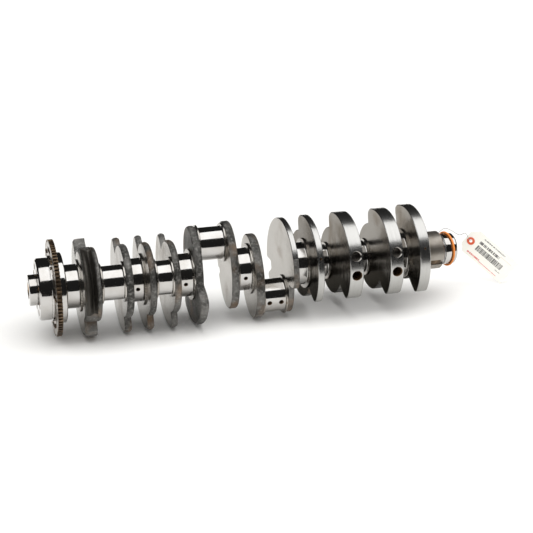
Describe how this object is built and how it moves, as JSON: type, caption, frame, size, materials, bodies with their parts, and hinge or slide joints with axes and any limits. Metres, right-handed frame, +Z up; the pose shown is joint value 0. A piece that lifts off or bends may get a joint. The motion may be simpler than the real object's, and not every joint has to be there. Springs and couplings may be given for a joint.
{
  "type": "crankshaft",
  "caption": "Multi-throw engine crankshaft with counterweighted webs, ground journals, a toothed timing ring, a stepped nose and a parts tag wired to it.",
  "frame": {"origin": "under the middle of the shaft, on the surface that its counterweights rest on", "axes": "+X along the shaft from the rear flange to the nose, +Z up"},
  "size_m": [0.8125, 0.1574, 0.1575],
  "materials": {
    "ground_steel": "ground and polished",
    "machined_steel": "satin, turned and milled",
    "forged_steel": "rough forging skin",
    "grey_steel": "dull turned steel",
    "blackened_steel": "blackened, teeth worn bright brown",
    "bronze": "machined",
    "orange_rubber": "satin elastic",
    "tag_card": "matt card",
    "eyelet_patch": "fibre patch",
    "tie_wire": "soft drawn wire"
  },
  "bodies": {
    "shaft": {"pilot_spigot": "ground_steel", "pilot_bush": "bronze", "seal_hub": "ground_steel", "timing_ring": "blackened_steel", "ring_screw_1": "blackened_steel", "ring_screw_2": "blackened_steel", "ring_screw_3": "blackened_steel", "ring_screw_4": "blackened_steel", "ring_screw_5": "blackened_steel", "ring_screw_6": "blackened_steel", "thrust_collar": "ground_steel", "main_journal_1": "ground_steel", "crankpin_1": "ground_steel", "main_journal_2": "ground_steel", "crankpin_2": "ground_steel", "main_journal_3": "ground_steel", "crankpin_3": "ground_steel", "main_journal_4": "ground_steel", "crankpin_4": "ground_steel", "main_journal_5": "ground_steel", "crankpin_5": "ground_steel", "crankpin_6": "ground_steel", "main_journal_6": "ground_steel", "web_01": "forged_steel", "web_02": "forged_steel", "web_03": "forged_steel", "web_04": "forged_steel", "web_05": "forged_steel", "web_06": "forged_steel", "web_07": "forged_steel", "web_08": "machined_steel", "web_09": "machined_steel", "web_10": "machined_steel", "web_11": "machined_steel", "web_12": "machined_steel", "nose_hub": "grey_steel", "nose_key": "machined_steel", "nose_snout": "ground_steel", "snout_band": "orange_rubber", "tie_loop": "tie_wire", "tag_wire": "tie_wire"},
    "tag": {"tag_card": "tag_card", "tag_eyelet": "eyelet_patch"}
  },
  "joints": [
    {"name": "tag_swing", "type": "hinge", "parent": "shaft", "child": "tag", "pos_m": [0.4006, 0.0458, 0.07045], "axis": [-0.5793, -0.8151, 0], "range_deg": [0, 60]}
  ]
}
